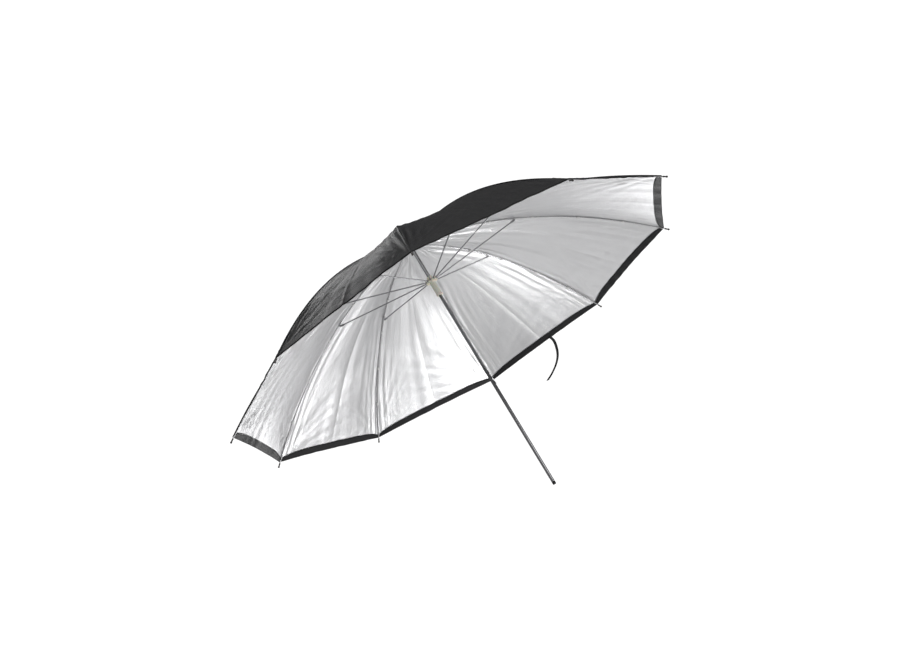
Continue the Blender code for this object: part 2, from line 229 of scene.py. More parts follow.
def make_thread(name, colour):
    """Twisted sewing thread."""
    finish = Finish(name, Sheen_Weight=0.2)
    place = finish.place("Object")
    lay = finish.clouds(place, 1500, 2)
    finish.paint(Base_Color=finish.mixed(lay, tuple(c * 0.8 for c in colour), colour), Roughness=0.7)
    return finish.bump(lay, 0.0001, 0.5).material


def make_metal(name, dark, light, roughness, mark_depth=0.4):
    """Metal with drawing marks along it and slightly uneven polish."""
    finish = Finish(name, Metallic=1.0)
    place = finish.place("Object")
    marks = finish.clouds(finish.stretched(place, (1.0, 1.0, 0.05)), 900, 3)
    cloudy = finish.clouds(place, 30, 3)
    finish.paint(Base_Color=finish.mixed(cloudy, dark, light),
                 Roughness=roughness + marks * (mark_depth * 0.25) + cloudy * 0.06)
    return finish.bump(marks, 0.00004, mark_depth).material


def make_plastic(name, dark, light, roughness, subsurface=0.0):
    """Moulded plastic: a faint grain, and slightly uneven colour."""
    finish = Finish(name, Subsurface_Weight=subsurface, Subsurface_Scale=0.003)
    place = finish.place("Object")
    cloudy = finish.clouds(place, 120, 3)
    grain = finish.clouds(place, 2600, 2)
    finish.paint(Base_Color=finish.mixed(cloudy, dark, light), Roughness=roughness + cloudy * 0.12)
    return finish.bump(grain, 0.00005, 0.35).material


LINING = make_lining()
OUTER_CLOTH = make_outer_cloth("black cloth", (0.006, 0.006, 0.007), (0.013, 0.013, 0.014))
# The hem is the same black nylon as the outside, painted several times lighter: painted light on the
# turned-in hem.
HEM_CLOTH_PAINTED_LIGHTER = make_outer_cloth("hem cloth painted lighter", (0.040, 0.040, 0.041), (0.060, 0.060, 0.061))
WEBBING = make_webbing()
WHITE_THREAD = make_thread("white thread", (0.93, 0.93, 0.92))
PALE_THREAD = make_thread("pale thread", (0.86, 0.86, 0.87))
SHAFT_METAL = make_metal("polished dark metal", (0.20, 0.20, 0.205), (0.27, 0.27, 0.275), 0.15, 0.03)
RIB_METAL = make_metal("bright rib wire", (0.56, 0.56, 0.57), (0.70, 0.70, 0.71), 0.18)
STRETCHER_METAL = make_metal("grey stretcher wire", (0.27, 0.27, 0.28), (0.36, 0.36, 0.37), 0.22)
TIP_METAL = make_metal("dark tip metal", (0.07, 0.07, 0.068), (0.13, 0.125, 0.12), 0.24)
BRIGHT_METAL = make_metal("bright wire", (0.55, 0.55, 0.55), (0.7, 0.7, 0.7), 0.22)
CATCH_METAL = make_metal("spring steel", (0.12, 0.11, 0.10), (0.24, 0.23, 0.21), 0.32)
CREAM_PLASTIC = make_plastic("cream plastic", (0.84, 0.77, 0.64), (0.92, 0.87, 0.76), 0.28, subsurface=0.25)
BLACK_PLASTIC = make_plastic("black plastic", (0.012, 0.012, 0.012), (0.03, 0.03, 0.03), 0.38)


# ---------------------------------------------------------------- mesh helpers
CLOTH_ANGLE, TUBE_ANGLE = 50, 50  # an edge that turns by more degrees than this is sharp
MERGE = 1e-6


def show(name, mesh, *materials):
    """Puts a mesh in the scene as an object, with its materials if any are given."""
    if materials:
        mesh.materials.clear()
        for mat in materials:
            mesh.materials.append(mat)
    obj = bpy.data.objects.new(name, mesh)
    bpy.context.scene.collection.objects.link(obj)
    return obj


def finished(obj):
    """The object's evaluated mesh, in world space, as a new mesh. The object is removed."""
    bpy.context.view_layer.update()
    mesh = bpy.data.meshes.new_from_object(obj.evaluated_get(bpy.context.evaluated_depsgraph_get()))
    mesh.transform(obj.matrix_world)
    bpy.data.objects.remove(obj, do_unlink=True)
    return mesh


def smoothed(mesh, angle=35):
    """Shaded smooth, but sharp along edges that turn by more than the angle."""
    mesh.shade_smooth()
    mesh.set_sharp_from_angle(angle=math.radians(angle))
    return mesh


def grid_mesh(name, along, across, point, size, crowded=1.0, flipped=False):
    """A sheet whose points are point(u, v), u and v from 0 to 1, with UVs in metres of its size.

    A crowded sheet has its lengthwise lines closer together where v is small.
    """
    made = bmesh.new()
    bmesh.ops.create_grid(made, x_segments=along, y_segments=across, size=0.5)
    for vert in made.verts:
        vert.co = (vert.co.x + 0.5, (vert.co.y + 0.5) ** crowded, 0)
    layer = made.loops.layers.uv.new("weave")
    for face in made.faces:
        for corner in face.loops:
            corner[layer].uv = (corner.vert.co.y * size[1], corner.vert.co.x * size[0])
    for vert in made.verts:
        vert.co = point(vert.co.x, vert.co.y)
    if flipped:
        bmesh.ops.reverse_faces(made, faces=made.faces[:])
    mesh = bpy.data.meshes.new(name)
    made.to_mesh(mesh)
    made.free()
    return mesh


def thickened(name, mesh, thickness, materials, offset=-1.0):
    """A sheet made solid. The second material, if there is one, goes on its underside."""
    obj = show(name, mesh, *materials)
    shell = obj.modifiers.new("thickness", "SOLIDIFY")
    shell.thickness = thickness
    shell.offset = offset
    shell.material_offset = len(materials) - 1
    return smoothed(finished(obj), CLOTH_ANGLE)


def tube_mesh(name, points, radius, sides=10, closed=False):
    """A round wire through points, with closed ends."""
    curve = bpy.data.curves.new(name, "CURVE")
    curve.dimensions = "3D"
    curve.bevel_depth = radius
    curve.bevel_resolution = max(0, sides // 2 - 2)
    curve.use_fill_caps = not closed
    spline = curve.splines.new("POLY")
    spline.points.add(len(points) - 1)
    for slot, point in zip(spline.points, points):
        slot.co = (*point, 1)
    spline.use_cyclic_u = closed
    obj = bpy.data.objects.new(name, curve)
    bpy.context.scene.collection.objects.link(obj)
    mesh = finished(obj)
    made = bmesh.new()
    made.from_mesh(mesh)
    bmesh.ops.remove_doubles(made, verts=made.verts, dist=MERGE)
    made.to_mesh(mesh)
    made.free()
    return smoothed(mesh, TUBE_ANGLE)


def turned_mesh(name, profile, steps=48, closed=False):
    """A profile of (radius, height) points turned about Z."""
    mesh = bpy.data.meshes.new(name)
    edges = [(i, i + 1) for i in range(len(profile) - 1)]
    if closed:
        edges.append((len(profile) - 1, 0))
    mesh.from_pydata([(r, 0, z) for r, z in profile], edges, [])
    obj = show(name, mesh)
    screw = obj.modifiers.new("turn", "SCREW")
    screw.steps = screw.render_steps = steps
    screw.use_merge_vertices = True
    screw.merge_threshold = MERGE
    return smoothed(finished(obj))


def plate_mesh(name, outline, thickness, holes=(), round_edge=0.0):
    """A flat plate standing in the XZ plane, from (x, z) outlines."""
    curve = bpy.data.curves.new(name, "CURVE")
    curve.dimensions = "2D"
    curve.fill_mode = "BOTH"
    curve.extrude = thickness / 2 - round_edge
    curve.bevel_depth = round_edge
    curve.bevel_resolution = 1
    curve.offset = -round_edge
    for loop in [outline, *holes]:
        spline = curve.splines.new("POLY")
        spline.points.add(len(loop) - 1)
        for slot, point in zip(spline.points, loop):
            slot.co = (*point, 0, 1)
        spline.use_cyclic_u = True
    obj = bpy.data.objects.new(name, curve)
    bpy.context.scene.collection.objects.link(obj)
    obj.matrix_world = Matrix.Rotation(math.pi / 2, 4, "X")
    return smoothed(finished(obj))


def circle(radius, count):
    turns = [math.tau * i / count for i in range(count)]
    return [(radius * math.cos(a), radius * math.sin(a)) for a in turns]


def rounded_box_mesh(name, size, matrix, edge):
    """A block with its edges rounded off, put in place by a matrix."""
    made = bmesh.new()
    bmesh.ops.create_cube(made, size=1, matrix=Matrix.Diagonal((*size, 1)))
    bmesh.ops.bevel(made, geom=made.edges[:], offset=edge, segments=2, affect="EDGES", profile=0.5)
    made.transform(matrix)
    mesh = bpy.data.meshes.new(name)
    made.to_mesh(mesh)
    made.free()
    return smoothed(mesh)


def eased(points, size, closed=True):
    """An outline with each of its corners rounded off."""
    out = []
    last = len(points) - 1
    for i, point in enumerate(points):
        if not closed and i in (0, last):
            out.append(point)
            continue
        here = Vector(point)
        legs = [Vector(points[i - 1]) - here, Vector(points[(i + 1) % len(points)]) - here]
        before, after = (here + leg.normalized() * min(size, leg.length * 0.4) for leg in legs)
        out += [tuple(before), tuple(here * 0.5 + before * 0.25 + after * 0.25), tuple(after)]
    return out


def cut_mesh(name, base, boxes):
    """A mesh with boxes cut out of it; each box is (size, matrix)."""
    tool = bmesh.new()
    for size, matrix in boxes:
        bmesh.ops.create_cube(tool, size=1, matrix=matrix @ Matrix.Diagonal((*size, 1)))
    tool_mesh = bpy.data.meshes.new("cutter")
    tool.to_mesh(tool_mesh)
    tool.free()
    cutter, obj = show("cutter", tool_mesh), show(name, base)
    change = obj.modifiers.new("cut", "BOOLEAN")
    change.operation = "DIFFERENCE"
    change.object = cutter
    mesh = finished(obj)
    bpy.data.objects.remove(cutter, do_unlink=True)
    return smoothed(mesh)


def together(name, meshes):
    """Several (material slot, mesh) pairs as one mesh."""
    made = bmesh.new()
    for slot, mesh in meshes:
        first = len(made.faces)
        made.from_mesh(mesh)
        made.faces.ensure_lookup_table()
        for face in made.faces[first:]:
            face.material_index = slot
    mesh = bpy.data.meshes.new(name)
    made.to_mesh(mesh)
    made.free()
    return smoothed(mesh)


# ---------------------------------------------------------------- how pieces move
def move_with_rib(obj, index, body):
    """The piece follows its rib, with a mesh of its own."""
    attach(obj, body)
    turn = spin(index)
    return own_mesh(obj)


def move_with_stretcher(obj, index):
    """The piece follows its stretcher, with a mesh of its own."""
    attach(obj, f"stretcher_{number(index)}")
    turn = spin(index)
    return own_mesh(obj)


# ---------------------------------------------------------------- camera
CAMERA_AIM = Vector((0, -0.0195, 0.3762))
CAMERA_REACH = 2.703


def make_camera():
    """From below the rim, on the side of rib 01, rolled so that the shaft leans across the view."""
    view = Vector((-0.954935, -0.014802, 0.296447)).normalized()
    roll = math.radians(-31.12)
    camera = bpy.data.cameras.new("camera")
    camera.sensor_width = 36
    camera.lens = 53.73
    camera.clip_end = 50
    obj = bpy.data.objects.new("camera", camera)
    bpy.context.scene.collection.objects.link(obj)
    level = view.to_track_quat("-Z", "Y").to_matrix().to_4x4()
    place = Matrix.Translation(CAMERA_AIM - view * CAMERA_REACH)
    obj.matrix_world = place @ level @ Matrix.Rotation(roll, 4, "Z")
    bpy.context.scene.camera = obj


make_camera()

# ---------------------------------------------------------------- tie strap
STRAP_RIB = 4
STRAP_SHARE = 0.434  # how far along the rim it hangs, from its rib to the next
STRAP_WIDTH, STRAP_THICKNESS, PATCH_THICKNESS = 0.0065, 0.0010, 0.0014
STRAP_TWIST = math.radians(50)
STRAP_ROUTE = [(0, 0, -0.0008), (0.0010, 0.0010, -0.012), (0.0000, -0.0035, -0.0315),
               (-0.0005, -0.0115, -0.047), (0.0005, -0.0250, -0.0615), (0.0030, -0.0430, -0.0745),
               (0.0045, -0.0600, -0.0835)]


def smooth_route(points, steps):
    """One smooth curve through the points, with so many steps from each to the next."""
    ends = [Vector(points[0]) * 2 - Vector(points[1])] + [Vector(p) for p in points]
    ends.append(ends[-1] * 2 - ends[-2])
    out = []
    for a, b, c, d in zip(ends, ends[1:], ends[2:], ends[3:]):
        for k in range(steps):
            t = k / steps
            out.append(0.5 * (2 * b + (c - a) * t + (2 * a - 5 * b + 4 * c - d) * t**2
                              + (3 * b - a - 3 * c + d) * t**3))
    return out + [ends[-2]]


def ribbon(name, centre, across, width, thickness, material, lift=0.0):
    """A flat band along a centreline, its width direction given at each point."""
    last = len(centre) - 1

    def point(u, v):
        i = min(last, round(u * last))
        forward = (centre[min(i + 1, last)] - centre[max(i - 1, 0)]).normalized()
        face = forward.cross(across[i]).normalized()
        return centre[i] + across[i] * ((v - 0.5) * width) + face * lift

    length = sum((b - a).length for a, b in zip(centre, centre[1:]))
    sheet = grid_mesh(name, last, 4, point, (length, width))
    return thickened(name, sheet, thickness, [material], offset=0.0)


def make_strap():
    """The tie strap, which hangs from the hem, with the fastening patch on its lower part."""
    corner = Vector((CANOPY_RADIUS, 0, RIM_HEIGHT))
    start, end = spin(STRAP_RIB) @ corner, spin(STRAP_RIB + 1) @ corner
    hem, along_hem = start.lerp(end, STRAP_SHARE), (end - start).normalized()
    under_hem = spin(STRAP_RIB + 0.5) @ Vector((-0.006, 0, 0.0012))
    centre = [hem + p for p in smooth_route([tuple(under_hem), *STRAP_ROUTE[1:]], 6)]
    across = [Matrix.Rotation(STRAP_TWIST * i / (len(centre) - 1), 3, "Z") @ along_hem
              for i in range(len(centre))]
    band = ribbon("strap", centre, across, STRAP_WIDTH, STRAP_THICKNESS, WEBBING)
    strap = show("tie_strap_webbing", band)
    lower = slice(len(centre) * 2 // 3, None)
    patch = show("tie_strap_patch", ribbon("patch", centre[lower], across[lower], STRAP_WIDTH * 0.9,
                                           PATCH_THICKNESS, OUTER_CLOTH, lift=-0.0009))
    body = f"canopy_{number(STRAP_RIB)}_right"
    for obj in (strap, patch):
        move_with_rib(obj, STRAP_RIB, body)
    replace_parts(strap, "tie_strap")
    length = sum((b - a).length for a, b in zip(centre, centre[1:]))
    tuple(centre[0])
    [tuple(p) for p in centre]


make_strap()


# ---------------------------------------------------------------- canopy
CLOTH_START = 0.0125  # the cloth's inner edge, under the top washer
HALF_SIDE = CANOPY_RADIUS * math.sin(STEP / 2)  # half of one side of the rim
ARC = 1.10 * CANOPY_RADIUS  # along a rib, from the crown to the rim
GORE_ROWS, GORE_LINES = 96, 34  # of a half gore, from the crown outward and from the rib to the fold
RIM_HOLLOW = 0.002  # how far the hem curves in between two ribs
SAG = 0.007  # how far a gore sinks between its ribs, halfway out
CORNER_DEPTH, CORNER_REACH = 0.0075, 0.075  # creases from a rib tip
GATHER_PITCH, GATHER_DEPTH, GATHER_REACH = 0.016, 0.0018, 0.020  # folds beside a seam
CREASED = (1, 1, 1.2, 1.7, 0.35, 1, 1, 1.8, 1, 1)  # how creased each gore is
FOLD_HEIGHT, FOLD_WIDTH = 0.0006, 0.003  # the pressed crease down the middle of a gore
SOFT_FOLDS, STREAKS, CROWN_PUCKERS, HEM_PUCKERS = 0.0022, 0.0013, 0.0020, 0.0012
HEM_HOLD, HEM_EASE = 0.005, 0.025  # the hem holds its edge smooth, and the folds start past it
HEM_LIFT = -0.0007  # the hem from the cloth's underside
HEM_THICKNESS = 0.0004
HEM_LINES = 60
ROLL_RADIUS, HEM_FOLD_RADIUS, STITCH_RADIUS = 0.0014, 0.0006, 0.0006
STITCHES, STITCH_HALF = 34, 0.011  # to a half gore, and half a stitch as a share of the half side
SEAM_WIDTH, SEAM_THICKNESS = 0.0046, 0.0004
HALVES = {"left": -1, "right": 1}


def rim_radius(x):
    return CANOPY_RADIUS - RIM_HOLLOW * (1 - x * x)


def corner_creases(gore, out, across, end):
    """Creases that fan out from a rib tip; out and across are metres from the corner."""
    reach = math.hypot(out, across)
    fan = math.atan2(across, out + 1e-6)
    ridge = 0.25 - abs(noise.noise(Vector((fan * 9, gore * 3.7 + end * 1.9, reach * 2))))
    fade = math.exp(-reach / CORNER_REACH) * min(1, reach / 0.02)
    return CORNER_DEPTH * CREASED[gore] ** 0.5 * ridge * fade


def gathers(gore, radius, x, from_rib):
    """Small folds beside a seam, where the cloth is drawn up along its rib."""
    rib = gore + (1 if x > 0 else 0.5)
    drift = noise.noise(Vector((radius * 5, rib * 3.1, 7.7)))
    strength = 0.55 + 0.9 * noise.noise(Vector((radius * 8, rib * 2.3, 1.1)))
    wave = math.sin(math.tau * (from_rib / GATHER_PITCH + drift + rib * 0.37))
    spread = math.exp(-from_rib / GATHER_REACH) * min(1, from_rib / 0.003) * min(1, 3 * abs(x))
    return GATHER_DEPTH * wave * strength * spread * min(1, radius / 0.10)


def crumple(gore, radius, x):
    """How far the cloth stands out of its smooth shape. It is nothing along the ribs."""
    half_width = radius * math.sin(STEP / 2)
    out = max(0.0, rim_radius(x) - radius)
    inside = max(0.0, 1 - x * x)
    share = radius / CANOPY_RADIUS
    from_rib = half_width * (1 - abs(x))
    sag = -SAG * 4 * share * (1 - share) * inside
    soft = noise.noise(Vector((x * 1.7, radius * 9, gore * 5.3))) * SOFT_FOLDS
    streak = noise.noise(Vector((x * 6.5, radius * 4.5, gore * 2.9 + 40))) * STREAKS
    fans = sum(corner_creases(gore, out, half_width * (1 + end * x), end) for end in (-1, 1))
    near_crown = math.exp(-((radius / 0.09) ** 2))
    top = CROWN_PUCKERS * noise.noise(Vector((x * 5, radius * 60, gore * 1.3))) * near_crown
    pressed = FOLD_HEIGHT * math.exp(-abs(x) * half_width / FOLD_WIDTH) * min(1, radius / 0.06)
    hem = noise.noise(Vector((x * 7, gore * 7.7, 3.1))) * HEM_PUCKERS * math.exp(-out / 0.025)
    held = inside ** 0.8 * ((soft + streak) * CREASED[gore] + top + hem)
    free = min(1.0, max(0.0, out - HEM_HOLD) / HEM_EASE)
    return sag + held + free * (min(1, inside * 3) * fans + gathers(gore, radius, x, from_rib)) + pressed


def cloth_point(gore, radius, x, lift=0.0):
    """A point on the cloth of a gore; x runs from -1 at its first rib to 1 at the next."""
    here = Vector((radius, 0, rib_height(radius))) + rib_normal(radius) * LIFT
    flat = (spin(gore) @ here).lerp(spin(gore + 1) @ here, (1 + x) / 2)
    return flat + spin(gore + 0.5) @ rib_normal(radius) * (crumple(gore, radius, x) + lift)


def half_gore(rib, side):
    """The gore that a rib's half belongs to, and its x at the rib."""
    return (rib, -1.0) if side > 0 else (rib - 1, 1.0)


def make_half_gore(rib, word, side):
    """A gore's cloth from its rib to its middle fold, black outside and silver inside."""
    gore, at_rib = half_gore(rib, side)

    def point(u, v):
        x = at_rib * (1 - v)
        radius = CLOTH_START + (rim_radius(x) - CLOTH_START) * u
        return cloth_point(gore, radius, x, CLOTH)

    size = (ARC, HALF_SIDE)
    sheet = grid_mesh("gore", GORE_ROWS, GORE_LINES, point, size, crowded=1.5, flipped=side < 0)
    mesh = thickened("gore", sheet, CLOTH, [OUTER_CLOTH, LINING])
    obj = show(f"gore_{number(rib)}_{word}", mesh)
    body = f"canopy_{number(rib)}_{word}"
    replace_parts(move_with_rib(obj, rib, body), body)
    return obj


def hem_width(x):
    """The turned-in hem narrows to its corners."""
    return 0.0040 + 0.0064 * (1 - abs(x) ** 6)


def make_hem(rib, word, side):
    """The cloth's turned-in edge, its stitches, and the roll along the rim."""
    gore, at_rib = half_gore(rib, side)

    def point(u, v):
        x = at_rib * (1 - v) * 0.996
        radius = rim_radius(x) + 0.0004 - hem_width(x) * (1 - u)
        return cloth_point(gore, radius, x, HEM_LIFT)

    sheet = grid_mesh("hem", 12, HEM_LINES, point, (0.012, HALF_SIDE), crowded=1.5, flipped=side < 0)
    # the hem's cloth carries painted light: a lighter copy of the black cloth
    pieces = [(2, thickened("hem", sheet, HEM_THICKNESS, [HEM_CLOTH_PAINTED_LIGHTER]))]
    edge = [cloth_point(gore, rim_radius(x) + 0.0002, x, 0.0001)
            for x in (at_rib * (1 - (k / HEM_LINES) ** 1.5) * 0.998 for k in range(HEM_LINES + 1))]
    pieces.append((0, tube_mesh("rim roll", edge, ROLL_RADIUS, 10)))
    fold = [cloth_point(gore, rim_radius(x) - hem_width(x), x, HEM_LIFT)
            for x in (at_rib * k / 48 * 0.996 for k in range(49))]
    pieces.append((0, tube_mesh("fold", fold, HEM_FOLD_RADIUS, 8)))
    for stitch in range(STITCHES):
        x = at_rib * (stitch + 0.5) / STITCHES
        radius = rim_radius(x) - hem_width(x) - 0.0012
        line = [cloth_point(gore, radius, x + k * STITCH_HALF, -0.0003) for k in range(3)]
        pieces.append((1, tube_mesh("stitch", line, STITCH_RADIUS, 6)))
    obj = show(f"hem_{number(rib)}_{word}", together("hem", pieces), OUTER_CLOTH, PALE_THREAD, HEM_CLOTH_PAINTED_LIGHTER)
    move_with_rib(obj, rib, f"canopy_{number(rib)}_{word}")
    return obj


def make_canopy():
    for rib in range(RIB_COUNT):
        for word, side in HALVES.items():
            cloth = make_half_gore(rib, word, side)
            hem = make_hem(rib, word, side)


def make_seam(rib):
    """The felled seam that runs over a rib, outside the cloth."""
    turn = spin(rib)

    def point(u, v):
        radius = CLOTH_START + 0.004 + (CANOPY_RADIUS - 0.001 - CLOTH_START - 0.004) * u
        side = (v - 0.5) * SEAM_WIDTH
        ridge = 0.0004 * (1 - (2 * v - 1) ** 2)
        here = Vector((radius, 0, rib_height(radius))) + rib_normal(radius) * (LIFT + CLOTH + 0.0004 + ridge)
        droop = abs(side) * math.tan(STEP / 2) * 0.55
        return turn @ (here + Vector((0, side, 0)) - rib_normal(radius) * droop)

    strip = grid_mesh("seam", 70, 6, point, (ARC, SEAM_WIDTH))
    obj = show(f"seam_{number(rib)}", thickened("seam", strip, SEAM_THICKNESS, [OUTER_CLOTH]))
    move_with_rib(obj, rib, f"rib_{number(rib)}")
    return obj


# ---------------------------------------------------------------- ribs, stretchers, tips
EYE_RADIUS = 0.0018
EYE_HOLE = 0.0009
EYE_THICKNESS = 0.0012
ELBOW_DROP = 0.0042
STRETCHER_WIRE = 0.0013
PIN_RADIUS = 0.0007
FORK_LENGTH = 0.009
RIB_END = CANOPY_RADIUS + 0.0025
TIP_LENGTH, TIP_BALL, TIP_NECK = 0.0105, 0.0022, 0.0015


def eye_mesh():
    """The flat ring at a wire's end, about the origin."""
    return plate_mesh("eye", circle(EYE_RADIUS, 28), EYE_THICKNESS, [circle(EYE_HOLE, 20)], 0.0002)


def make_rib_mesh():
    """A bowed wire with its eye at the crown, and the clipped-on tab that takes the stretcher's pin."""
    knots = 48
    first = 0.030
    radii = [first + (RIB_END - first) * k / (knots - 1) for k in range(knots)]
    points = [Vector((CROWN.x + EYE_RADIUS - 0.0004, 0, CROWN.z + 0.0001)),
              Vector((0.019, 0, CROWN.z + 0.0009))]
    points += [Vector((r, 0, rib_height(r))) for r in radii]
    wire = tube_mesh("rib wire", points, RIB_RADIUS, sides=12)
    eye = eye_mesh()
    eye.transform(Matrix.Translation(CROWN))
    along = Vector((1, 0, -SLOPE * ELBOW.x)).normalized()
    up = Vector((-along.z, 0, along.x))
    half, low = 0.0052, 0.0021
    arc = [(low * math.cos(a), low * math.sin(a)) for a in (math.radians(d) for d in range(180, 361, 20))]
    outline = [(-half, ELBOW_DROP + 0.0009), *arc, (half, ELBOW_DROP + 0.0009)]
    # corners are given along the rib and away from it, about the pin
    corners = [(ELBOW + along * a + up * b) for a, b in outline]
    hole = [(ELBOW + along * a + up * b) for a, b in circle(PIN_RADIUS + 0.0002, 16)]
    tab = plate_mesh("tab", [(p.x, p.z) for p in corners], EYE_THICKNESS,
                     holes=[[(p.x, p.z) for p in hole]], round_edge=0.0001)
    clip_line = [ELBOW + up * ELBOW_DROP + along * a for a in (-half, 0, half)]
    clip = tube_mesh("clip", clip_line, RIB_RADIUS + 0.0004, 12)
    return together("rib", [(0, wire), (0, eye), (0, tab), (0, clip)])


def make_stretcher_mesh():
    """A straight wire with an eye at the runner, and a riveted fork at the rib."""
    reach = HUB - ELBOW
    along = reach.normalized()
    side = Vector((0, 1, 0))
    frame_turn = Matrix((along, side, along.cross(side))).transposed().to_4x4()
    place = Matrix.Translation(ELBOW) @ frame_turn
    inner, cheek, half = EYE_THICKNESS / 2 + 0.0003, 0.0008, 0.0018
    wire_ends = [ELBOW + along * (FORK_LENGTH - 0.001), HUB - along * (EYE_RADIUS - 0.0004)]
    wire = tube_mesh("wire", wire_ends, STRETCHER_WIRE, 12)
    eye = eye_mesh()
    eye.transform(Matrix.Translation(HUB))
    parts = [(0, wire), (0, eye)]
    for sign in (-1, 1):
        middle = Vector(((FORK_LENGTH - half) / 2, sign * (inner + cheek / 2), 0))
        size = (FORK_LENGTH + half, cheek, 2 * half)
        parts.append((0, rounded_box_mesh("cheek", size, place @ Matrix.Translation(middle), 0.0003)))
    bridge = Vector((FORK_LENGTH - 0.0012, 0, 0))
    parts.append((0, rounded_box_mesh("bridge", (0.0034, 2 * (inner + cheek * 0.9), 1.7 * half),
                                      place @ Matrix.Translation(bridge), 0.0004)))
    pin_half = inner + cheek
    head = [(0, pin_half + 0.0006), (0.0009, pin_half + 0.0005), (0.0012, pin_half + 0.0002),
            (0.0012, pin_half), (PIN_RADIUS, pin_half)]
    rivet = turned_mesh("rivet", head + [(r, -y) for r, y in reversed(head)], steps=20)
    rivet.transform(Matrix.Translation(ELBOW) @ Matrix.Rotation(math.pi / 2, 4, "X"))
    parts.append((1, rivet))
    return together("stretcher", parts)


def make_tip_mesh():
    """The turned tip on a rib's outer end, with its ball."""
    along = Vector((1, 0, -SLOPE * CANOPY_RADIUS)).normalized()
    start = Vector((RIB_END, 0, rib_height(RIB_END))) + along * 0.0003
    ball, neck, length = TIP_BALL, TIP_NECK, TIP_LENGTH - TIP_BALL
    profile = [(0, length + ball)]
    profile += [(ball * math.sin(a), length + ball * math.cos(a))
                for a in (math.radians(d) for d in range(12, 140, 12))]
    profile += [(neck, length - ball * 0.85), (neck, 0.0018), (neck + 0.0004, 0.0012),
                (neck + 0.0004, 0.0003), (neck + 0.0001, 0), (0, 0)]
    mesh = turned_mesh("rib tip", profile, steps=24)
    lean = Vector((0, 0, 1)).rotation_difference(along).to_matrix().to_4x4()
    mesh.transform(Matrix.Translation(start) @ lean)
    return mesh


TIE_RADII = (0.105, 0.175, 0.262, 0.350, 0.430)  # where thread ties the cloth to the rib
TIE_RING, TIE_THREAD, TIE_TAIL = 0.0023, 0.0010, 0.00026  # radii of the loop, its thread and its loose end
TIE_TURNS, TIE_SPREAD = 3, 0.0048


def make_tie_meshes():
    """Loops of white thread round the rib, each with a small knot under it."""
    parts = []
    for radius in TIE_RADII:
        middle = Vector((radius, 0, rib_height(radius)))
        along = Vector((1, 0, -SLOPE * radius)).normalized()
        up = rib_normal(radius)
        count = 48
        loop = []
        for k in range(count + 1):
            angle = math.tau * TIE_TURNS * k / count
            shift = along * (TIE_SPREAD * (k / count - 0.5))
            out = TIE_RING * math.sin(angle)
            # above the rib it stays inside the cloth
            over = min(TIE_RING * math.cos(angle), -0.0002 - 0.25 * abs(out))
            loop.append(middle + shift + up * over + Vector((0, out, 0)))
        parts.append((0, tube_mesh("tie", loop, TIE_THREAD, sides=6)))
        tail = [middle - up * TIE_RING, middle - up * (TIE_RING + 0.0012) + along * 0.0012,
                middle - up * (TIE_RING + 0.0018) + along * 0.0030]
        parts.append((0, tube_mesh("tail", tail, TIE_TAIL, sides=6)))
        knot = bpy.data.meshes.new("knot")
        made = bmesh.new()
        bmesh.ops.create_icosphere(made, subdivisions=2, radius=0.0006,
                                   matrix=Matrix.Translation(middle - up * (TIE_RING + 0.0003)))
        made.to_mesh(knot)
        made.free()
        parts.append((0, knot))
    return together("ties", parts)


def turned_copy(mesh, index):
    copy = mesh.copy()
    copy.transform(spin(index).to_4x4())
    return copy


def make_frame():
    """Each rib with its tip, thread ties and seam, and its stretcher."""
    rib, stretcher, tip, ties = make_rib_mesh(), make_stretcher_mesh(), make_tip_mesh(), make_tie_meshes()
    for index in range(RIB_COUNT):
        label = number(index)
        rib_obj = show(f"rib_{label}_wire", turned_copy(rib, index), RIB_METAL)
        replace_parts(move_with_rib(rib_obj, index, f"rib_{label}"), f"rib_{label}")
        tip_obj = show(f"rib_{label}_tip", turned_copy(tip, index), TIP_METAL)
        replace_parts(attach(tip_obj, f"rib_{label}"), f"rib_tip_{label}")
        arm = show(f"stretcher_{label}_arm", turned_copy(stretcher, index), STRETCHER_METAL, BRIGHT_METAL)
        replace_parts(move_with_stretcher(arm, index), f"stretcher_{label}")
        tie_obj = show(f"rib_{label}_ties", turned_copy(ties, index), WHITE_THREAD)
        move_with_rib(tie_obj, index, f"rib_{label}")
        make_seam(index)


# ---------------------------------------------------------------- shaft, runner, crown
SHAFT_BORE = 0.0027
PLUG_TOP = 0.006
CLEAR = 0.0003
HUB_RADIUS = 0.0125
HUB_HALF = 0.0035
SLOT_WIDTH = 0.0029
SLOT_START = 0.0076
WIRE_RADIUS = 0.0005
RUNNER_RADIUS = 0.006
CATCH_TURN = Matrix.Rotation(math.radians(-18), 4, "Z")
CATCH_THICKNESS = 0.0016
CATCH_HEIGHT = 0.009
CATCH_OUT = 0.0049
SHAFT_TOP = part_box("shaft")[1].z
WASHER_LOW = CROWN.z + HUB_HALF + 0.0005


def hub_outline(bore, above, barrel, below):
    """Half-section of a slotted hub with a groove round its rim for the pivot wire, about its pivots."""
    groove = WIRE_RADIUS + CLEAR
    return [(bore, above), (barrel, above), (barrel, HUB_HALF), (HUB_RADIUS, HUB_HALF), (HUB_RADIUS, groove),
            (CROWN.x - groove, groove), (CROWN.x - groove, -groove), (HUB_RADIUS, -groove),
            (HUB_RADIUS, -HUB_HALF), (barrel, -HUB_HALF), (barrel, below), (bore, below)]


def hub_slots(depth):
    """Boxes for the slots that the eyes of the ribs or stretchers sit in."""
    length = HUB_RADIUS + 0.002 - SLOT_START
    middle = Matrix.Translation((SLOT_START + length / 2, 0, 0))
    return [((length, SLOT_WIDTH, depth), spin(i).to_4x4() @ middle) for i in range(RIB_COUNT)]


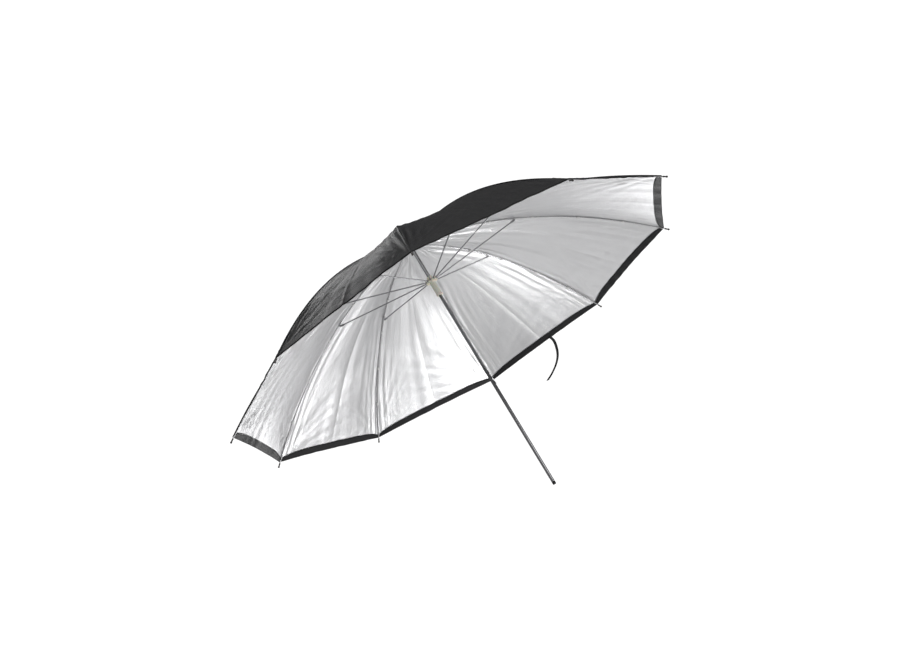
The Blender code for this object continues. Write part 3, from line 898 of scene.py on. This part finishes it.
def make_runner_mesh():
    """The runner: slotted head, slim barrel with raised lines down it, and a flared foot."""
    bore, neck, length = SHAFT_RADIUS + 0.00035, 0.0095, HUB.z - RUNNER_LOW
    flare = RUNNER_RADIUS + 0.0012
    outline = hub_outline(bore, neck, RUNNER_RADIUS - 0.0002, -length)
    outline[-2:] = [(RUNNER_RADIUS - 0.0002, -length + 0.0044), (flare, -length + 0.0030), (flare, -length),
                    (bore, -length)]
    body = turned_mesh("runner", eased(outline, 0.0005), steps=80, closed=True)
    depth = CATCH_OUT + CLEAR
    key = ((depth, CATCH_THICKNESS + 2 * CLEAR, length + neck + 0.002),
           CATCH_TURN @ Matrix.Translation((depth / 2, 0, (neck - length) / 2)))
    parts = [(0, cut_mesh("runner", body, hub_slots(2 * HUB_HALF + 0.002) + [key]))]
    line_length = length - HUB_HALF - 0.007
    for k in range(6):
        turn = Matrix.Rotation(math.tau * (k + 0.25) / 6, 4, "Z")
        middle = Matrix.Translation((RUNNER_RADIUS - 0.0003, 0, -HUB_HALF - 0.0012 - line_length / 2))
        parts.append((0, rounded_box_mesh("line", (0.0009, 0.0012, line_length), turn @ middle, 0.0003)))
    mesh = together("runner", parts)
    mesh.transform(Matrix.Translation((0, 0, HUB.z)))
    return mesh


def make_crown_mesh():
    """The slotted hub at the top of the shaft, which the ribs hinge in."""
    outline = hub_outline(SHAFT_RADIUS + CLEAR, HUB_HALF + 0.0001, 0.0078, -0.008)
    body = turned_mesh("crown", eased(outline, 0.0004), steps=80, closed=True)
    mesh = cut_mesh("crown", body, hub_slots(4 * HUB_HALF))
    mesh.transform(Matrix.Translation((0, 0, CROWN.z)))
    return mesh


def make_shaft_mesh():
    """The shaft's tube, with the slot that its spring catch stands out of."""
    outline = [(SHAFT_BORE, SHAFT_TOP), (SHAFT_RADIUS, SHAFT_TOP), (SHAFT_RADIUS, PLUG_TOP),
               (SHAFT_BORE, PLUG_TOP)]
    tube = turned_mesh("shaft", eased(outline, 0.0003), steps=64, closed=True)
    middle = Vector((SHAFT_RADIUS, 0, RUNNER_LOW - CLEAR - CATCH_HEIGHT / 2))
    slot = ((SHAFT_RADIUS * 2, CATCH_THICKNESS + 2 * CLEAR, CATCH_HEIGHT + 2 * CLEAR),
            CATCH_TURN @ Matrix.Translation(middle))
    return cut_mesh("shaft", tube, [slot])


def make_plug_mesh():
    """The plug that closes the tube's lower end."""
    stem, shoulder, chamfer = PLUG_TOP + 0.008, PLUG_TOP - CLEAR, 0.0008
    outline = [(0, stem), (SHAFT_BORE - CLEAR, stem), (SHAFT_BORE - CLEAR, shoulder),
               (SHAFT_RADIUS, shoulder), (SHAFT_RADIUS, chamfer), (SHAFT_RADIUS - chamfer, 0), (0, 0)]
    return turned_mesh("plug", eased(outline, 0.0004, closed=False), steps=64)


def make_cap_mesh():
    """The domed cap that clamps the cloth at the top of the shaft."""
    foot, top = WASHER_LOW + 0.0008 + CLEAR, SHAFT_TOP + CLEAR
    hole = SHAFT_RADIUS + CLEAR
    dome, brim = 0.005, 0.0075
    outline = [(0, top + 0.006), (0.0025, top + 0.0055), (0.0042, top + 0.004), (dome, top + 0.001),
               (dome, foot + 0.002), (brim, foot + 0.0015), (brim, foot), (hole, foot), (hole, top), (0, top)]
    return turned_mesh("cap", eased(outline, 0.0006, closed=False), steps=64)


def make_catch_mesh():
    """The spring catch's blade, square on top, under the runner, and sloped below."""
    back = -0.0008
    outline = [(back, 0), (back, -CATCH_HEIGHT), (SHAFT_RADIUS - 0.0003, -CATCH_HEIGHT), (CATCH_OUT, -0.0025),
               (CATCH_OUT, 0)]
    mesh = plate_mesh("catch", eased(outline, 0.0005), CATCH_THICKNESS, round_edge=0.0003)
    mesh.transform(Matrix.Translation((0, 0, RUNNER_LOW - CLEAR)) @ CATCH_TURN)
    return mesh


WASHER_RADIUS, WASHER_ROW, WASHER_STITCHES = 0.0188, 0.0172, 36


def make_washer():
    """The round of cloth over the crown, its edge a little wavy, with a row of stitches."""
    inner, outer = SHAFT_RADIUS + CLEAR, WASHER_RADIUS

    def height(radius, angle):
        fall = max(0.0, (radius - HUB_RADIUS) / (outer - HUB_RADIUS))
        wave = 0.00025 * math.sin(RIB_COUNT * angle) + 0.0002 * math.sin(3 * angle + 1)
        return WASHER_LOW + 0.0004 - 0.0008 * fall**1.4 + wave * fall

    def point(u, v):
        angle = math.tau * v
        radius = inner + (outer + 0.0002 * math.sin(17 * angle) - inner) * u
        return Vector((radius * math.cos(angle), radius * math.sin(angle), height(radius, angle)))

    sheet = grid_mesh("washer", 14, 120, point, (outer - inner, math.tau * outer * 0.6))
    mesh = thickened("washer", sheet, 0.0005, [OUTER_CLOTH], offset=0.0)
    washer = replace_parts(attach(show("top_washer_cloth", mesh), "root"), "top_washer")
    stitches = []
    for k in range(WASHER_STITCHES):
        angles = [math.tau * (k + share) / WASHER_STITCHES for share in (0.1, 0.35, 0.6)]
        line = [Vector((WASHER_ROW * math.cos(a), WASHER_ROW * math.sin(a), height(WASHER_ROW, a) + 0.0004))
                for a in angles]
        stitches.append((0, tube_mesh("stitch", line, 0.00022, 6)))
    seam = show("top_washer_stitches", together("stitches", stitches), PALE_THREAD)
    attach(seam, "root")


def make_wire_ring(name, height):
    """The wire through the eyes, in a hub's groove."""
    return tube_mesh(name, [Vector((x, y, height)) for x, y in circle(CROWN.x, 80)], WIRE_RADIUS, closed=True)


def make_fittings():
    """Each piece of the shaft, crown and runner, with its body, the part that it replaces and its slot."""
    crown_ring, runner_ring = make_wire_ring("crown wire", CROWN.z), make_wire_ring("runner wire", HUB.z)
    for name, mesh, finish, body, node, slot in (
            ("shaft_tube", make_shaft_mesh(), SHAFT_METAL, "root", "shaft", "shaft_metal"),
            ("shaft_plug", make_plug_mesh(), BLACK_PLASTIC, "root", "shaft_end_plug", "black_plastic"),
            ("crown_hub", make_crown_mesh(), BLACK_PLASTIC, "root", "crown", "black_plastic"),
            ("crown_ring", crown_ring, BRIGHT_METAL, "root", "crown_wire", "bright_wire"),
            ("cap", make_cap_mesh(), BLACK_PLASTIC, "root", "top_cap", "black_plastic"),
            ("runner_body", make_runner_mesh(), CREAM_PLASTIC, "runner", "runner", "runner_plastic"),
            ("runner_wire", runner_ring, BRIGHT_METAL, "runner", None, "bright_wire"),
            ("catch_blade", make_catch_mesh(), CATCH_METAL, "spring_catch", "spring_catch", "catch_steel")):
        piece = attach(show(name, mesh, finish), body)
        if node:
            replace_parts(piece, node)
    make_washer()


# ---------------------------------------------------------------- studio
FLOOR_SIZE, FLOOR_HEIGHT = 12, -1.6
BACKDROP_STRENGTH = 1.1
ROOM_BELOW, ROOM_ABOVE = (0.44, 0.44, 0.45, 1), (0.06, 0.06, 0.062, 1)
ROOM_DARK_FROM = 0.3  # the sine of the height in the sky above which the room is darkest


def make_floor():
    bpy.ops.mesh.primitive_plane_add(size=FLOOR_SIZE, location=(0, 0, FLOOR_HEIGHT))
    floor = bpy.context.object
    floor.name = "floor"
    finish = Finish("floor", Roughness=0.9, Emission_Color=(1, 1, 1, 1), Emission_Strength=0.20)
    finish.paint(Base_Color=(0.9, 0.9, 0.9, 1))
    floor.data.materials.append(finish.material)


def area_light(name, place, target, size, power):
    """A round soft light that faces a target, and isn't seen itself."""
    light = bpy.data.lights.new(name, "AREA")
    light.shape = "DISK"
    light.size = size
    light.energy = power
    obj = bpy.data.objects.new(name, light)
    bpy.context.scene.collection.objects.link(obj)
    obj.location = place
    obj.rotation_euler = (Vector(target) - Vector(place)).to_track_quat("-Z", "Y").to_euler()
    obj.visible_camera = False


def make_studio():
    """White surroundings to the camera, and a dimmer room, darker overhead, to everything that shines."""
    bpy.context.scene.view_settings.view_transform = "Standard"
    world = bpy.data.worlds.new("studio")
    bpy.context.scene.world = world
    world.use_nodes = True
    nodes, links = world.node_tree.nodes, world.node_tree.links
    room = nodes["Background"]
    place, parts, shade = (nodes.new(f"ShaderNode{kind}") for kind in ("TexCoord", "SeparateXYZ", "ValToRGB"))
    first, last = shade.color_ramp.elements
    first.position, first.color = 0.0, ROOM_BELOW
    last.position, last.color = ROOM_DARK_FROM, ROOM_ABOVE
    links.new(place.outputs["Generated"], parts.inputs[0])
    links.new(parts.outputs["Z"], shade.inputs[0])
    links.new(shade.outputs[0], room.inputs["Color"])
    backdrop = nodes.new("ShaderNodeBackground")
    backdrop.inputs["Color"].default_value = (1, 1, 1, 1)
    backdrop.inputs["Strength"].default_value = BACKDROP_STRENGTH
    path = nodes.new("ShaderNodeLightPath")
    mix = nodes.new("ShaderNodeMixShader")
    links.new(path.outputs["Is Camera Ray"], mix.inputs[0])
    links.new(room.outputs[0], mix.inputs[1])
    links.new(backdrop.outputs[0], mix.inputs[2])
    links.new(mix.outputs[0], nodes["World Output"].inputs["Surface"])
    middle = (0, 0, 0.45)
    area_light("low side light", (-0.45, 0.55, -0.80), (-0.2, 0, 0.5), 0.40, 6)
    area_light("left light", (-1.25, -0.50, -0.55), (-0.18, 0.24, 0.5), 0.7, 0.85)
    area_light("back light", (-2.3, -0.85, 2.25), middle, 1.2, 18)
    area_light("far light", (-3.5, 0.0, 0.0), middle, 1.6, 18)
    area_light("front light", (2.2, 2.2, -0.2), middle, 1.2, 14)
    area_light("top light", (0.6, 0.4, 3.0), middle, 2.5, 30)


make_canopy()
make_frame()
make_fittings()
make_floor()
make_studio()
